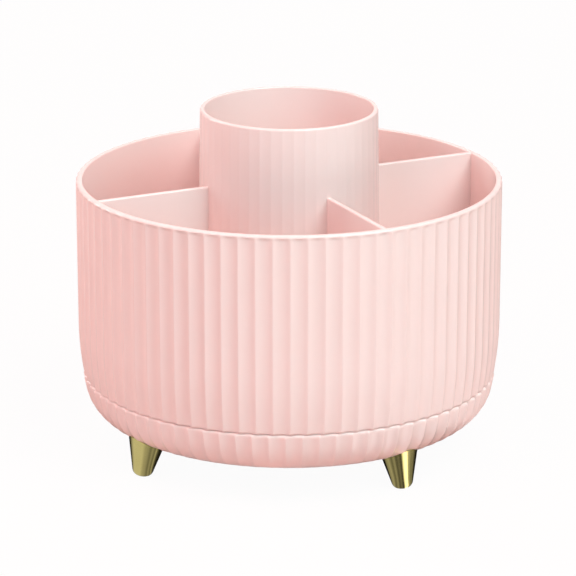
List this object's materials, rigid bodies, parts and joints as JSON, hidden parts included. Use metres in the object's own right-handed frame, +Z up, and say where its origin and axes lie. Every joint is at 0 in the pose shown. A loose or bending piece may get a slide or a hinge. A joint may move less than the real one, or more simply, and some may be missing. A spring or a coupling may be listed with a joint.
{
  "type": "rotating makeup organizer",
  "caption": "Round fluted makeup organizer: a drum with a tall brush cup and divided compartments turns on a ball turntable in a shallow dish on splayed legs.",
  "frame": {"origin": "on the table, under the turning axis", "axes": "+Z up along the turning axis; +X, -X, +Y and -Y each pass through the middle of a compartment at rest"},
  "size_m": [0.16, 0.16, 0.1305],
  "materials": {
    "pink_plastic": "satin gloss moulded plastic",
    "gold_plating": "polished",
    "steel": "bright",
    "white_acetal": "plain"
  },
  "bodies": {
    "base": {"base_dish": "pink_plastic", "lower_race_ring": "white_acetal", "pivot_axle": "steel", "pivot_washer": "steel", "pivot_nut": "steel", "leg_1": "gold_plating", "leg_2": "gold_plating", "leg_3": "gold_plating", "leg_4": "gold_plating", "leg_screws": "steel"},
    "carousel": {"drum_shell": "pink_plastic", "floor_plate": "pink_plastic", "brush_cup": "pink_plastic", "divider_1": "pink_plastic", "divider_2": "pink_plastic", "divider_3": "pink_plastic", "divider_4": "pink_plastic", "floor_screws": "steel", "cup_screws": "steel", "upper_race_ring": "white_acetal", "pivot_bush": "white_acetal"},
    "ball_cage": {"ball_retainer": "white_acetal", "bearing_balls": "steel"}
  },
  "joints": [
    {"name": "carousel_spin", "type": "hinge", "parent": "base", "child": "carousel", "pos_m": [0, 0, 0], "axis": [0, 0, 1], "continuous": true},
    {"name": "cage_spin", "type": "hinge", "parent": "base", "child": "ball_cage", "pos_m": [0, 0, 0], "axis": [0, 0, 1], "continuous": true}
  ],
  "couplings": [
    {"joint": "cage_spin", "follows": "carousel_spin", "ratio": 0.5}
  ]
}
